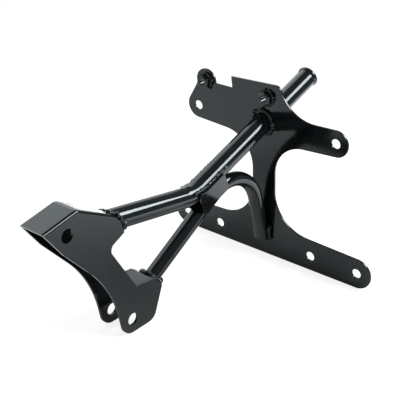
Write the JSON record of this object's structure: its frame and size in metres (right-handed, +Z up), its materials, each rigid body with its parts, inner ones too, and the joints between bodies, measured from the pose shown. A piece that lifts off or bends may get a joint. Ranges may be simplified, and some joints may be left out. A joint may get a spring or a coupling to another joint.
{
  "type": "motorcycle headlight bracket",
  "caption": "Gloss black welded steel headlight bracket for a motorcycle: folded neck channel, bent main tube, arched strut tube with gussets, and a flat plate with upper and lower arms.",
  "frame": {"origin": "centre of the bounding box's underside; the bracket stands on its two ears and on the plate's lower edge", "axes": "+Z up, +X forward toward the headlight, +Y to the rider's left"},
  "size_m": [0.4832, 0.325, 0.247],
  "materials": {
    "sheet_coat": "gloss black powder coat on cut and folded sheet",
    "tube_coat": "gloss black powder coat on drawn tube",
    "nut_coat": "gloss black powder coat over hexagonal weld nuts",
    "weld_coat": "gloss black powder coat over rippled weld beads"
  },
  "bodies": {
    "root": {"neck_channel": "sheet_coat", "cross_plate": "sheet_coat", "main_tube": "tube_coat", "strut_tube": "tube_coat", "right_gusset": "sheet_coat", "left_gusset": "sheet_coat", "headlight_plate": "sheet_coat", "lobe_nut": "nut_coat", "centre_nut": "nut_coat", "plate_weld": "weld_coat", "strut_foot_weld": "weld_coat", "neck_weld": "weld_coat", "lobe_nut_weld": "weld_coat", "centre_nut_weld": "weld_coat", "right_cross_weld": "weld_coat", "left_cross_weld": "weld_coat", "right_gusset_top_weld": "weld_coat", "left_gusset_top_weld": "weld_coat", "right_gusset_low_weld": "weld_coat", "left_gusset_low_weld": "weld_coat", "right_leg_weld": "weld_coat", "left_leg_weld": "weld_coat"}
  },
  "joints": []
}
